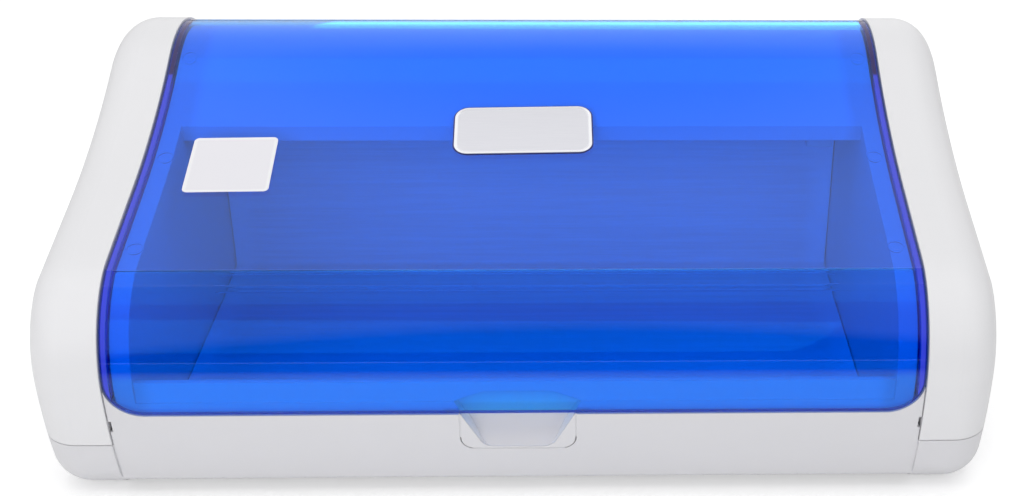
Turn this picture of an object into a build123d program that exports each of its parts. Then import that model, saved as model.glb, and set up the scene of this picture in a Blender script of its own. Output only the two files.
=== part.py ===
from build123d import *
import os
from math import asin, cos, degrees, radians, sin, tan

# Bench-top disinfection box with a see-through door that swings up over a rounded back.
# Millimetres, +Z up, front towards -Y, origin in the middle of the footprint.

# Overall form, seen from the side: nose, facet, shelf, hollow and roll
cap_width = 33.5
cap_proud = 1.0
cap_rounding = 18.0
cap_corner = 20.0
cap_post_y = 60.0
nose_height = 61.0
nose_radius = 49.8
brow_slope = 35.4
facet_length = 8.0
facet_slope = 30.7
shelf_length = 57.0
shelf_slope = 12.8
hollow_radius = 372.0
climb_slope = 27.3
roll_radius = 59.8
chin_radius = 177.5
crease_blend = 34.0

# Heights of the shells and walls
foot_proud = 1.0
foot_thickness = 2.0
foot_radius = 5.0
base_bottom = 7.0
base_corner = 4.0
seam_height = 31.5
seam_gap = 0.4
wall = 2.5
fit_gap = 0.3

# Door: a clear moulded sheet with side flanges and hinge arms
door_thickness = 2.6
door_bottom = 48.5
door_corner = 16.0
door_side_gap = 0.8
door_seat_gap = 0.9
door_rear_angle = 24.0
flange_depth = 9.0
flange_clearance = 2.5
arm_front_angle = -34.0
eye_radius = 9.0
pin_radius = 2.5
running_gap = 0.05
pin_seat = 8.0

# Frame behind the door
rail_width = 8.5
slot_width = 4.5
slot_front = 145.0
groove_low = 54.0
hinge_plate_drop = 22.0
lip_setback = 130.5
lip_drop = 8.0
rebate_top = 53.0
rebate_step = 0.8
sill_height = 63.0
sill_fall = 8.0
sill_depth = 16.5
chamber_floor = 13.5
chamber_depth = 200.0
rib_count = 6
rib_edge = 12.0
rib_thickness = 2.0

# Finger scoop in the front band
scoop_top_width = 30.0
scoop_shoulder_width = 56.0
scoop_bottom_width = 30.0
scoop_bottom = 29.0
scoop_waist = 45.0
scoop_top = 58.0
scoop_roof_depth = 6.8
scoop_depth = 9.0
tab_width = 51.0
tab_bottom = 28.0
tab_corner = 6.0
tab_depth = 11.5
scoop_lip = 3.2
gate_width = 6.0
gate_height = 1.0
slit_width = 1.2
slit_bottom = 39.0
slit_height = 5.8

# Sheet metal
sheet = 0.8
bend = 4.0
liner_gap = 1.0
liner_back_height = 112.0
reflector_half_depth = 22.0
reflector_roof_half = 12.0
reflector_rise = 12.0

# Lamp, a 16 mm tube between two turn-to-lock sockets
tube_radius = 8.0
tube_length = 288.0
tube_setback = 165.0
tube_drop = 26.5
tube_cap_length = 9.0
lamp_pin_radius = 1.2
lamp_pin_length = 7.0
lamp_pin_pitch = 4.75
rotor_radius = 7.5
rotor_thickness = 5.0
lamp_end_gap = 0.5
socket_below = 14.0
socket_above = 11.0
socket_width = 22.0
socket_thickness = 13.0
socket_back = 9.5
reflector_post_inset = 34.0

# Name plate and label on the door
plate_width = 67.0
plate_height = 33.0
plate_corner = 7.0
plate_setback = 124.0
label_width = 40.0
label_height = 39.5
label_corner = 2.5
label_x = -137.7
label_setback = 100.5
plate_thickness = 0.6
label_thickness = 0.2
glue = 0.05

# Back panel and what it carries
back_inset = 6.2
panel_tongue = 1.0
back_screw_heights = (46.0, 72.0)
inlet_from_edge = 23.5
switch_from_inlet = 34.0
switch_z = 58.0
switch_width = 13.0
switch_height = 19.2
bezel_rim = 1.2
bezel_proud = 1.5
switch_depth = 16.0
rocker_tilt = 12.0
rocker_radius = 8.5
rocker_setback = 4.0
rocker_dip = 4.6
trunnion_radius = 1.5
inlet_z = 58.0
inlet_width = 18.0
inlet_height = 10.5
inlet_rim = 3.0
inlet_depth = 17.0
inlet_pin_pitch = 8.6
inlet_pin_radius = 1.2
vent_count = 12
vent_pitch = 7.0
vent_width = 3.0
vent_height = 26.0
vent_x = 40.0
vent_z = 62.0

# Control gear behind the chamber
ballast_x = 60.0
ballast_length = 52.0
ballast_width = 28.0
ballast_height = 40.0
ballast_foot = 16.0
ballast_plate = 1.5
coil_bulge = 5.0
starter_x = 130.0
starter_radius = 10.5
starter_length = 34.0

# Door safety switch under the right-hand groove
interlock_setback = 121.0
interlock_travel = 2.0
interlock_length = 12.8
interlock_width = 5.4
interlock_depth = 6.5
plunger_length = 4.0
plunger_width = 2.2
plunger_seat = 4.6

# Fasteners
screw_radius = 1.5
screw_head_radius = 3.0
screw_head_height = 2.0
screw_length = 14.0
screw_grip = 4.0
post_radius = 4.0
pad_height = 3.0
boss_length = 14.0
lug_height = 18.0
gear_screw_length = 3.5

# Places worked out from the form above
socket_outer = tube_length / 2 + lamp_end_gap + socket_thickness
rail_inner = socket_outer + socket_back
rail_outer = rail_inner + rail_width
bay_half = rail_outer + slot_width
nose_turn = 90.0 - brow_slope
skin_depth = (
    nose_radius * (1 - cos(radians(nose_turn)))
    + facet_length * cos(radians(facet_slope))
    + shelf_length * cos(radians(shelf_slope))
    + hollow_radius * (sin(radians(climb_slope)) - sin(radians(shelf_slope)))
    + roll_radius * (1 + sin(radians(climb_slope)))
)
skin_top = (
    nose_height
    + nose_radius * sin(radians(nose_turn))
    + facet_length * sin(radians(facet_slope))
    + shelf_length * sin(radians(shelf_slope))
    + hollow_radius * (cos(radians(shelf_slope)) - cos(radians(climb_slope)))
    + roll_radius * (1 - cos(radians(climb_slope)))
)
front_y = -skin_depth / 2
rear_y = skin_depth / 2
hinge_y = rear_y - roll_radius
hinge_z = skin_top - roll_radius
frame_inset = door_thickness + door_seat_gap
groove_inset = flange_depth + flange_clearance
door_half = bay_half - door_side_gap
arm_inner = door_half - door_thickness
panel_top = hinge_z + panel_tongue
roll_end = hinge_z - fit_gap
back_outer_y = rear_y - back_inset
liner_back_y = front_y + chamber_depth
floor_top = base_bottom + wall
inlet_x = -rail_outer + inlet_from_edge
switch_x = inlet_x + switch_from_inlet
ledge_z = door_bottom - door_seat_gap
big = 400.0

os.makedirs("parts", exist_ok=True)


def write(name, part):
    """Labels one finished piece and writes its STEP file."""
    part.label = name
    export_step(part, f"parts/{name}.step")


def setback(distance):
    """Y of a place measured back from the front of the nose."""
    return front_y + distance


def outline(inset=0.0, bottom=base_bottom, corner=0.0, smooth=False):
    """Closed side outline, moved inwards by inset; smooth rounds off the door's two creases."""
    with BuildSketch() as side:
        with BuildLine():
            nose = JernArc((front_y, nose_height), (0, 1), nose_radius, -nose_turn)
            facet = PolarLine(nose @ 1, facet_length, facet_slope)
            shelf = PolarLine(facet @ 1, shelf_length, shelf_slope)
            hollow = JernArc(shelf @ 1, shelf % 1, hollow_radius, climb_slope - shelf_slope)
            roll = JernArc(hollow @ 1, hollow % 1, roll_radius, -90 - climb_slope)
            chin_turn = degrees(asin((nose_height - bottom) / chin_radius))
            chin = JernArc((front_y, nose_height), (0, -1), chin_radius, chin_turn)
            Line(roll @ 1, (rear_y, bottom))
            Line((rear_y, bottom), chin @ 1)
        make_face()
        if smooth:
            for crease in (facet @ 0, facet @ 1):
                fillet(side.vertices().sort_by_distance(Vertex(crease.X, crease.Y))[0], crease_blend)
        if inset:
            offset(amount=-inset, kind=Kind.INTERSECTION)
        if corner:
            fillet(side.vertices().group_by(Axis.Y)[0], corner)
    return side.sketch


def ring(outer, inner):
    """Side view of a wall between two insets."""
    with BuildSketch() as band:
        add(outline(outer))
        add(outline(inner), mode=Mode.SUBTRACT)
    return band.sketch


def window(y_low, y_high, z_low, z_high):
    """Keeps only what lies inside this rectangle of the side view."""
    with Locations(((y_low + y_high) / 2, (z_low + z_high) / 2)):
        Rectangle(y_high - y_low, z_high - z_low, mode=Mode.INTERSECT)


def cap_form(inset, x_inner, x_outer, rounding, corner):
    """Solid end form with its outer edge rounded all the way round."""
    with BuildPart() as form:
        with BuildSketch(Plane.YZ.offset(x_inner)):
            add(outline(inset - cap_proud, foot_proud + cap_proud, corner, smooth=True))
        extrude(amount=x_outer - x_inner)
        fillet(form.faces().sort_by(Axis.X)[-1].edges(), rounding)
    return form.part


def cap_shell():
    """Hollow right-hand end form, before it is cut at the seam."""
    x_outer = bay_half + cap_width
    with BuildPart() as shell:
        add(cap_form(0, bay_half, x_outer, cap_rounding, cap_corner))
        add(
            cap_form(wall, bay_half + wall, x_outer - wall, cap_rounding - wall, cap_corner - wall),
            mode=Mode.SUBTRACT,
        )
    return shell.part


def cap_posts():
    """Places of the screw posts inside each end form."""
    return [(bay_half + wall + post_radius - 1, y) for y in (-cap_post_y, cap_post_y)]


def side_cap():
    """Upper half of the right-hand end moulding, with its hinge boss and screw posts."""
    with BuildPart() as cap:
        add(cap_shell())
        split(bisect_by=Plane.XY.offset(seam_height + seam_gap), keep=Keep.TOP)
        with BuildSketch(Plane.YZ.offset(bay_half + wall)):
            with Locations((hinge_y, hinge_z)):
                Circle(pin_radius + wall)
        extrude(amount=pin_seat - wall)
        with BuildSketch(Plane.YZ.offset(bay_half)):
            with Locations((hinge_y, hinge_z)):
                Circle(pin_radius + running_gap)
        extrude(amount=pin_seat + running_gap, mode=Mode.SUBTRACT)
        with BuildSketch(Plane.XY.offset(seam_height + seam_gap)):
            with Locations(*cap_posts()):
                Circle(post_radius)
        extrude(amount=24.0)
        with BuildSketch(Plane.XY.offset(seam_height + seam_gap)):
            with Locations(*cap_posts()):
                Circle(screw_radius)
        extrude(amount=screw_length, mode=Mode.SUBTRACT)
    return cap.part


def foot_places():
    """Centres of the four rubber feet, under the flats of the end forms."""
    x = bay_half + (cap_width - cap_rounding) / 2
    y = rear_y - cap_corner - 18.0
    return [(side * x, end * y) for side in (-1, 1) for end in (-1, 1)]


def base_screw_places():
    """Screw lugs of the frame, outside the chamber's side walls."""
    x = (rail_inner + wall + bay_half) / 2
    return both_sides([(x, setback(30.0)), (x, liner_back_y + 5.0)])


def tab_outline(gap):
    """Front view of the tab that carries the scoop, with a gap round it."""
    with BuildSketch() as tab:
        low = tab_bottom - gap
        high = scoop_top + wall
        with Locations((0, (low + high) / 2)):
            Rectangle(tab_width + 2 * gap, high - low)
        fillet(tab.vertices().group_by(Axis.Y)[0], tab_corner + gap)
    return tab.sketch


def screw_holes(places, z_face, z_seat):
    """Clearance holes for screws put in from below, counterbored up to z_seat."""
    with BuildPart() as holes:
        with BuildSketch(Plane.XY.offset(z_face)):
            with Locations(*places):
                Circle(screw_head_radius + fit_gap)
        extrude(amount=z_seat - z_face)
        with BuildSketch(Plane.XY.offset(z_face)):
            with Locations(*places):
                Circle(screw_radius + fit_gap)
        extrude(amount=seam_height - z_face)
    return holes.part


def both_sides(places):
    """The same places on the left and on the right."""
    return [(side * x, y) for side in (-1, 1) for x, y in places]


def front_wall():
    """Upper part of the tray's front wall, up to the door and round its lower corners."""
    with BuildPart() as front:
        with BuildSketch(Plane.YZ):
            add(strip(0, wall, -big, 0, seam_height - wall, door_bottom + door_corner))
        extrude(amount=bay_half - fit_gap, both=True)
        add(door_space(frame_inset, -bay_half, bay_half), mode=Mode.SUBTRACT)
    return front.part


def base_shell():
    """Lower tray: floor, low walls and the lower halves of both end forms in one moulding."""
    lower = split(cap_shell(), bisect_by=Plane.XY.offset(seam_height), keep=Keep.BOTTOM)
    with BuildPart() as base:
        with BuildSketch(Plane.YZ):
            add(outline(0, base_bottom, base_corner))
            add(outline(wall, base_bottom, base_corner - wall), mode=Mode.SUBTRACT)
            window(-big, big, 0, seam_height)
        extrude(amount=bay_half + wall / 2, both=True)
        add(lower)
        mirror(lower, about=Plane.YZ)
        add(front_wall())
        # ribs that carry the metal chamber
        rib_length = chamber_depth - sill_depth - rib_edge
        rib_pitch = 2 * (rail_inner - rib_edge) / (rib_count - 1)
        with BuildSketch(Plane.XY.offset(floor_top - wall / 2)):
            with Locations((0, setback(sill_depth + (rib_edge + rib_length) / 2))):
                with GridLocations(rib_pitch, 1, rib_count, 1):
                    Rectangle(rib_thickness, rib_length)
        extrude(amount=chamber_floor - floor_top + wall / 2)
        # screw posts in the end forms, raised pads under the frame's posts
        with BuildSketch(Plane.XY.offset(foot_proud + wall / 2)):
            with Locations(*both_sides(cap_posts())):
                Circle(post_radius)
        extrude(amount=seam_height - foot_proud - wall / 2)
        with BuildSketch(Plane.XY.offset(floor_top - wall / 2)):
            with Locations(*base_screw_places()):
                Circle(post_radius + 1.0)
        extrude(amount=pad_height + wall / 2)
        cap_seat = seam_height - screw_grip
        floor_seat = base_bottom + screw_head_height + fit_gap
        add(screw_holes(both_sides(cap_posts()), foot_proud, cap_seat), mode=Mode.SUBTRACT)
        add(screw_holes(base_screw_places(), base_bottom, floor_seat), mode=Mode.SUBTRACT)
        with BuildSketch(Plane.XY.offset(floor_top)):
            with Locations(*gear_screw_places()):
                Circle(screw_radius)
        extrude(amount=-gear_screw_length + ballast_plate, mode=Mode.SUBTRACT)
        # recesses for the feet
        with BuildSketch(Plane.XY.offset(foot_proud)):
            with Locations(*foot_places()):
                Circle(foot_radius + fit_gap)
        extrude(amount=foot_thickness - foot_proud, mode=Mode.SUBTRACT)
        # notch for the scoop's tab and the small gate notch under the front edge
        with BuildSketch(Plane.XZ.offset(-setback(tab_depth))):
            add(tab_outline(seam_gap))
        extrude(amount=big, mode=Mode.SUBTRACT)
        with BuildSketch(Plane.XZ.offset(-setback(30.0))):
            with Locations((0, base_bottom)):
                Rectangle(gate_width, 2 * gate_height)
        extrude(amount=40.0, mode=Mode.SUBTRACT)
        # short slits beside the end forms
        for side in (-1, 1):
            with BuildSketch(Plane.YZ.offset(side * bay_half)):
                add(strip(-1.0, wall + 0.5, -big, 0, slit_bottom, slit_bottom + slit_height))
            extrude(amount=-side * (slit_width + fit_gap), mode=Mode.SUBTRACT)
    return base.part


def skin_at(distance):
    """Height and slope of the skin on the shelf or hollow, a distance back from the nose."""
    shelf_end = (
        nose_radius * (1 - cos(radians(nose_turn)))
        + facet_length * cos(radians(facet_slope))
        + shelf_length * cos(radians(shelf_slope))
    )
    shelf_end_z = (
        nose_height
        + nose_radius * sin(radians(nose_turn))
        + facet_length * sin(radians(facet_slope))
        + shelf_length * sin(radians(shelf_slope))
    )
    beyond = distance - shelf_end
    if beyond <= 0:
        return shelf_end_z + beyond * tan(radians(shelf_slope)), shelf_slope
    slope = asin(sin(radians(shelf_slope)) + beyond / hollow_radius)
    return shelf_end_z + hollow_radius * (cos(radians(shelf_slope)) - cos(slope)), degrees(slope)


# The lamp hangs at a set drop under the skin
tube_height = skin_at(tube_setback)[0] - tube_drop


def strip(outer, inner, y_low, y_high, z_low, z_high):
    """Side view of a wall between two insets, kept inside a rectangle."""
    with BuildSketch() as piece:
        add(ring(outer, inner))
        window(y_low, y_high, z_low, z_high)
    return piece.sketch


def door_front(gap):
    """Front view of the door's outline with its rounded lower corners."""
    with BuildSketch() as front:
        low = door_bottom - gap
        with Locations((0, (low + big) / 2)):
            Rectangle(2 * (door_half + gap), big - low)
        fillet(front.vertices().group_by(Axis.Y)[0], door_corner + gap)
    return front.sketch


def door_space(depth, x_low, x_high):
    """Room for the door, or for its flange, cut to depth behind the skin."""
    with BuildPart() as space:
        with BuildSketch(Plane.YZ.offset(x_low)):
            add(strip(-1.0, depth, -big, setback(slot_front), seam_height, big))
        extrude(amount=x_high - x_low)
        with BuildSketch(Plane.XZ):
            add(door_front(door_seat_gap))
        extrude(amount=big, both=True, mode=Mode.INTERSECT)
    return space.part


def scoop_space():
    """Hollow of the finger scoop: curved back from the side, arched pocket from the front."""
    with BuildPart() as scoop:
        with BuildSketch(Plane.YZ):
            with BuildLine():
                deepest = (setback(scoop_depth), scoop_waist)
                floor = TangentArc(deepest, (setback(scoop_lip), scoop_bottom), tangent=(0, -1))
                roof = TangentArc(deepest, (setback(scoop_roof_depth), scoop_top + 1.0), tangent=(0, 1))
                Polyline(floor @ 1, (front_y - 5, scoop_bottom), (front_y - 5, scoop_top + 1.0), roof @ 1)
            make_face()
        extrude(amount=scoop_shoulder_width / 2, both=True)
        with BuildSketch(Plane.XZ) as front:
            Polygon(
                (-scoop_bottom_width / 2, scoop_bottom),
                (scoop_bottom_width / 2, scoop_bottom),
                (scoop_shoulder_width / 2, rebate_top),
                (scoop_top_width / 2, scoop_top),
                (-scoop_top_width / 2, scoop_top),
                (-scoop_shoulder_width / 2, rebate_top),
                align=None,
            )
            fillet(front.vertices().group_by(Axis.Y)[0], tab_corner)
            fillet(front.vertices().group_by(Axis.Y)[-1], 2 * tab_corner)
        extrude(amount=big, both=True, mode=Mode.INTERSECT)
    return scoop.part


def interlock_plane():
    """On the skin above the safety switch, in the flange's groove, looking out of the skin."""
    height, slope = skin_at(interlock_setback)
    normal = (0, -sin(radians(slope)), cos(radians(slope)))
    centre = (bay_half - interlock_width / 2 - running_gap, setback(interlock_setback), height)
    return Plane(origin=centre, x_dir=(1, 0, 0), z_dir=normal)


def back_screw_places():
    """Screws of the back panel, in the panel's own x and z."""
    x = rail_inner - post_radius + wall / 2
    return [(side * x, z) for side in (-1, 1) for z in back_screw_heights]


def upper_housing():
    """Frame behind the door: front band, sill, side rails, grooves, top panel and gables."""
    lip_y = setback(lip_setback)
    lip_z = skin_at(lip_setback)[0] - frame_inset
    slot_y = setback(slot_front)
    inner = frame_inset + wall
    half = bay_half - fit_gap
    foot_z = floor_top + fit_gap
    band_inset = frame_inset + rebate_step
    with BuildPart() as tab:
        with BuildSketch(Plane.YZ):
            add(strip(0, tab_depth, -big, 0, tab_bottom - wall, scoop_top + wall))
        extrude(amount=tab_width, both=True)
        with BuildSketch(Plane.XZ):
            add(tab_outline(0))
        extrude(amount=big, both=True, mode=Mode.INTERSECT)
    with BuildPart() as frame:
        # band behind the tray's front wall, thicker behind the scoop
        with BuildSketch(Plane.YZ):
            add(strip(wall + fit_gap, band_inset + wall, -big, 0, ledge_z - 3 * wall, sill_height))
        extrude(amount=half, both=True)
        with BuildSketch(Plane.YZ):
            add(strip(wall + fit_gap, tab_depth, -big, 0, ledge_z - 3 * wall, scoop_top + wall))
        extrude(amount=scoop_shoulder_width / 2 + wall, both=True)
        add(tab.part)
        add(door_space(frame_inset, -bay_half, bay_half), mode=Mode.SUBTRACT)
        with BuildSketch(Plane.YZ):
            add(strip(-1.0, band_inset, -big, 0, rebate_top, big))
        extrude(amount=bay_half, both=True, mode=Mode.SUBTRACT)
        add(door_space(groove_inset, rail_outer, bay_half), mode=Mode.SUBTRACT)
        add(door_space(groove_inset, -bay_half, -rail_outer), mode=Mode.SUBTRACT)
        add(scoop_space(), mode=Mode.SUBTRACT)
        # sill that falls away into the chamber, and the chamber's front wall
        sill_front = setback(band_inset + wall / 2)
        sill_back = setback(sill_depth)
        sill_low = sill_height - sill_fall
        with BuildSketch(Plane.YZ):
            Polygon(
                (sill_front, sill_height),
                (sill_front, sill_height - wall),
                (sill_back, sill_low - wall),
                (sill_back, sill_low),
                align=None,
            )
        extrude(amount=rail_inner + wall, both=True)
        with BuildSketch(Plane.YZ):
            with Locations((sill_back - wall / 2, (foot_z + sill_low) / 2)):
                Rectangle(wall, sill_low - foot_z)
        extrude(amount=rail_inner + wall, both=True)
        # top panel over the lamp, rolled down at the back, and its front lip
        with BuildSketch(Plane.YZ):
            add(strip(frame_inset, inner, lip_y, big, roll_end, big))
        extrude(amount=rail_outer, both=True)
        with BuildSketch(Plane.YZ):
            add(outline(frame_inset + wall / 2))
            window(lip_y, lip_y + wall, lip_z - lip_drop, big)
        extrude(amount=rail_inner + wall, both=True)
        for side in (-1, 1):
            # chamber side wall
            with BuildSketch(Plane.YZ.offset(side * (rail_inner + wall / 2))):
                add(outline(frame_inset))
                window(-big, big, foot_z, big)
            extrude(amount=wall / 2, both=True)
            # rail beside the opening with its outer skirt
            with BuildSketch(Plane.YZ.offset(side * (rail_inner + rail_outer) / 2)):
                add(strip(frame_inset, inner, -big, lip_y + wall, rebate_top - wall, big))
            extrude(amount=rail_width / 2, both=True)
            with BuildSketch(Plane.YZ.offset(side * (rail_outer - wall / 2))):
                add(strip(frame_inset, groove_inset + wall, -big, slot_y, groove_low, big))
            extrude(amount=wall / 2, both=True)
            # floor of the groove that the door's flange drops into
            with BuildSketch(Plane.YZ.offset(side * (rail_outer - wall + half) / 2)):
                add(strip(groove_inset, groove_inset + wall, -big, slot_y, groove_low, big))
            extrude(amount=(half - rail_outer + wall) / 2, both=True)
            # plate that holds the inner end of the hinge pin
            with BuildSketch(Plane.YZ.offset(side * (rail_outer - wall / 2))):
                add(outline(frame_inset))
                window(slot_y - wall, big, hinge_z - hinge_plate_drop, big)
            extrude(amount=wall / 2, both=True)
            # block behind each lamp socket
            with BuildSketch(Plane.YZ.offset(side * (rail_inner + wall / 2))):
                with Locations((setback(tube_setback), tube_height)):
                    Rectangle(socket_width - 2.0, socket_above + socket_below - 4.0)
            extrude(amount=-side * (rail_inner + wall / 2 - socket_outer))
        # screw lugs on the side walls, posts under the panel for the reflector
        with BuildSketch(Plane.XY.offset(floor_top + pad_height)):
            for x, y in base_screw_places():
                with Locations((x, y)):
                    Circle(post_radius)
                side_wall = rail_inner + wall / 2 if x > 0 else -rail_inner - wall / 2
                with Locations(((x + side_wall) / 2, y)):
                    Rectangle(abs(x - side_wall), 2 * post_radius)
        extrude(amount=lug_height)
        with BuildSketch(Plane.XY.offset(tube_height + reflector_rise + sheet)):
            with Locations(*reflector_posts()):
                Circle(post_radius)
        reach = skin_at(tube_setback)[0] - frame_inset - wall - tube_height - reflector_rise - sheet
        extrude(amount=reach)
        with BuildSketch(Plane.XY.offset(floor_top + pad_height)):
            with Locations(*base_screw_places()):
                Circle(screw_radius)
        extrude(amount=screw_length, mode=Mode.SUBTRACT)
        # room for the back panel, then the bosses that it is screwed to
        room_y = back_outer_y - wall - fit_gap
        with BuildSketch(Plane.YZ):
            with Locations((room_y + wall + fit_gap / 2, 0)):
                Rectangle(2 * wall + fit_gap, 2 * (panel_top + fit_gap))
            with Locations((room_y + big / 2, 0)):
                Rectangle(big, 2 * roll_end)
        extrude(amount=bay_half, both=True, mode=Mode.SUBTRACT)
        with BuildSketch(Plane.XZ.offset(boss_length - room_y)):
            with Locations(*back_screw_places()):
                Circle(post_radius)
        extrude(amount=-boss_length)
        with BuildSketch(Plane.XZ.offset(boss_length - room_y)):
            with Locations(*back_screw_places()):
                Circle(screw_radius)
        extrude(amount=-boss_length, mode=Mode.SUBTRACT)
        # bore for the hinge pins, window for the safety switch
        with BuildSketch(Plane.YZ):
            with Locations((hinge_y, hinge_z)):
                Circle(pin_radius + running_gap)
        extrude(amount=bay_half, both=True, mode=Mode.SUBTRACT)
        with BuildSketch(interlock_plane().offset(-groove_inset - 2 * wall)):
            Rectangle(plunger_width + 2 * fit_gap, plunger_length + 2 * fit_gap)
        extrude(amount=3 * wall, mode=Mode.SUBTRACT)
    return frame.part


def reflector_posts():
    """Where the reflector hangs from the top panel."""
    reach = tube_length / 2 - reflector_post_inset
    return [(x, setback(tube_setback)) for x in (-reach, 0.0, reach)]


def back_panel():
    """Vented back panel with openings for the power switch and the mains inlet."""
    with BuildPart() as panel:
        with BuildSketch(Plane.YZ):
            with Locations((back_outer_y - wall / 2, (floor_top + fit_gap + panel_top) / 2)):
                Rectangle(wall, panel_top - floor_top - fit_gap)
            with Locations(((back_outer_y + rear_y - wall - fit_gap) / 2, seam_height - wall / 2)):
                Rectangle(back_inset - wall - fit_gap, wall)
        extrude(amount=rail_outer, both=True)
        with BuildSketch(Plane.XZ.offset(-back_outer_y - 1.0)):
            with Locations((switch_x, switch_z)):
                Rectangle(switch_width + fit_gap, switch_height + fit_gap)
            with Locations((inlet_x, inlet_z)):
                SlotOverall(inlet_width + fit_gap, inlet_height + fit_gap)
            with Locations((vent_x, vent_z)):
                with GridLocations(vent_pitch, 1, vent_count, 1):
                    SlotOverall(vent_height, vent_width, rotation=90)
            with Locations(*back_screw_places()):
                Circle(screw_radius + fit_gap)
        extrude(amount=wall + 2.0, mode=Mode.SUBTRACT)
    return panel.part


def chamber_liner():
    """Polished sheet bent into the chamber's front, floor and back."""
    front = setback(sill_depth + liner_gap)
    with BuildPart() as liner:
        with BuildSketch(Plane.YZ):
            with BuildLine():
                FilletPolyline(
                    (front, sill_height - sill_fall - wall / 2),
                    (front, chamber_floor),
                    (liner_back_y, chamber_floor),
                    (liner_back_y, liner_back_height),
                    radius=bend,
                )
                offset(amount=sheet, side=Side.LEFT)
            make_face()
        extrude(amount=rail_inner - liner_gap / 2, both=True)
    return liner.part


def lamp_reflector():
    """Bright sheet bent into a shallow roof over the lamp."""
    y = setback(tube_setback)
    with BuildPart() as roof:
        with BuildSketch(Plane.YZ):
            with BuildLine():
                FilletPolyline(
                    (y - reflector_half_depth, tube_height),
                    (y - reflector_roof_half, tube_height + reflector_rise),
                    (y + reflector_roof_half, tube_height + reflector_rise),
                    (y + reflector_half_depth, tube_height),
                    radius=bend,
                )
                offset(amount=sheet, side=Side.LEFT)
            make_face()
        extrude(amount=tube_length / 2 - lamp_end_gap, both=True)
    return roof.part


def lamp_axis(x):
    """Plane across the lamp at x, looking along +X."""
    return Plane(origin=(x, setback(tube_setback), tube_height), x_dir=(0, 1, 0), z_dir=(1, 0, 0))


def lamp_socket():
    """Right-hand lamp socket: a block with a round well for the turning holder."""
    face = tube_length / 2 + lamp_end_gap
    with BuildPart() as socket:
        with BuildSketch(lamp_axis(face)) as front:
            with Locations((0, (socket_above - socket_below) / 2)):
                Rectangle(socket_width, socket_above + socket_below)
            fillet(front.vertices().group_by(Axis.Y)[-1], 5.0)
        extrude(amount=socket_thickness)
        with BuildSketch(lamp_axis(face)):
            Circle(rotor_radius + running_gap)
        extrude(amount=rotor_thickness + 2 * fit_gap, mode=Mode.SUBTRACT)
        with BuildSketch(lamp_axis(face)):
            Circle(lamp_pin_pitch / 2 + lamp_pin_radius + 1.0)
        extrude(amount=lamp_pin_length + 1.0, mode=Mode.SUBTRACT)
        with BuildSketch(lamp_axis(face)):
            with Locations((0, -socket_below / 2)):
                Rectangle(2 * lamp_pin_radius + 1.0, socket_below)
        extrude(amount=lamp_pin_length, mode=Mode.SUBTRACT)
    return socket.part


def socket_rotor():
    """Turning holder in the right-hand socket, slotted for the lamp's two pins."""
    reach = rotor_radius + lamp_pin_pitch / 2
    with BuildPart() as rotor:
        with BuildSketch(lamp_axis(tube_length / 2 + lamp_end_gap + fit_gap)):
            Circle(rotor_radius)
            with Locations((lamp_pin_pitch / 2, 0)):
                Circle(lamp_pin_radius + running_gap, mode=Mode.SUBTRACT)
            with Locations((lamp_pin_pitch / 2 - reach / 2, 0)):
                Rectangle(reach, 2 * (lamp_pin_radius + running_gap), mode=Mode.SUBTRACT)
        extrude(amount=rotor_thickness)
    return rotor.part


def uv_tube():
    """Clear quartz tube, drawn in to its end caps."""
    length = tube_length / 2 - tube_cap_length + 2.0
    with BuildPart() as tube:
        with BuildSketch(lamp_axis(-length)):
            Circle(tube_radius - sheet)
            Circle(tube_radius - 2 * sheet, mode=Mode.SUBTRACT)
        extrude(amount=2 * length)
    return tube.part


def tube_caps():
    """Aluminium caps over both ends of the tube."""
    length = tube_length / 2
    inside = tube_length / 2 - tube_cap_length + 2.0 + running_gap
    with BuildPart() as caps:
        for side in (-1, 1):
            with BuildSketch(lamp_axis(side * (length - tube_cap_length))):
                Circle(tube_radius)
            extrude(amount=side * tube_cap_length)
            with BuildSketch(lamp_axis(side * (length - tube_cap_length))):
                Circle(tube_radius - sheet + running_gap)
            extrude(amount=side * (inside - length + tube_cap_length), mode=Mode.SUBTRACT)
            with BuildSketch(lamp_axis(side * (length - tube_cap_length))):
                with GridLocations(lamp_pin_pitch, 1, 2, 1):
                    Circle(lamp_pin_radius + running_gap)
            extrude(amount=side * tube_cap_length, mode=Mode.SUBTRACT)
    return caps.part


def tube_pins():
    """Two contact pins at each end of the tube."""
    start = tube_length / 2 - 4.0
    with BuildPart() as pins:
        for side in (-1, 1):
            with BuildSketch(lamp_axis(side * start)):
                with GridLocations(lamp_pin_pitch, 1, 2, 1):
                    Circle(lamp_pin_radius)
            extrude(amount=side * (4.0 + lamp_pin_length))
    return pins.part


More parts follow.
